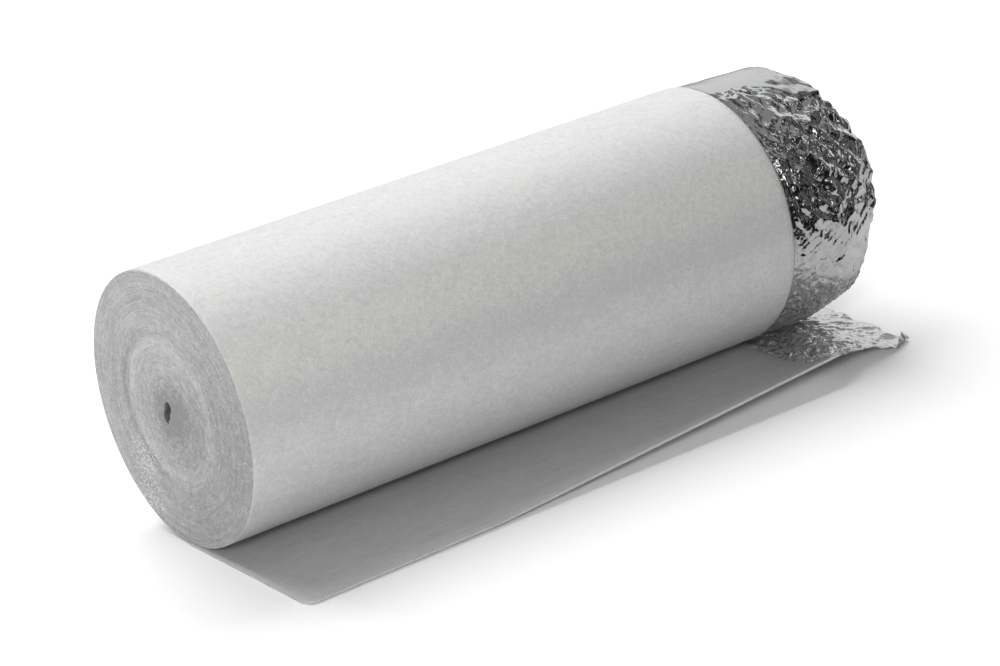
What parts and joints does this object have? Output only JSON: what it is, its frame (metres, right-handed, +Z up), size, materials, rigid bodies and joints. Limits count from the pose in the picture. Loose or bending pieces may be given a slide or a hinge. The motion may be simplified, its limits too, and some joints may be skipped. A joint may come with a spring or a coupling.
{
  "type": "roll of reflective insulation foil",
  "caption": "Coreless roll of foil-faced foam underlay on its side, its free end laid out foil side up and a crumpled foil overhang past the foam at one end.",
  "frame": {"origin": "middle of the floor area under the whole object, on the level that the roll and its free end lie on", "axes": "+X along the roll from its cut end to its foil end, -Y to the side where the free end of the sheet lies out, +Z up"},
  "size_m": [0.596, 0.257, 0.2095],
  "materials": {
    "foam": "soft white closed-cell polyethylene foam with a fine mottled grain",
    "foil": "thin aluminium foil, satin where it is bonded to the foam and bright where it is crumpled"
  },
  "bodies": {
    "root": {"foam_roll": "foam", "foam_free_end": "foam", "foil_free_end": "foil", "foil_collar": "foil"}
  },
  "joints": []
}
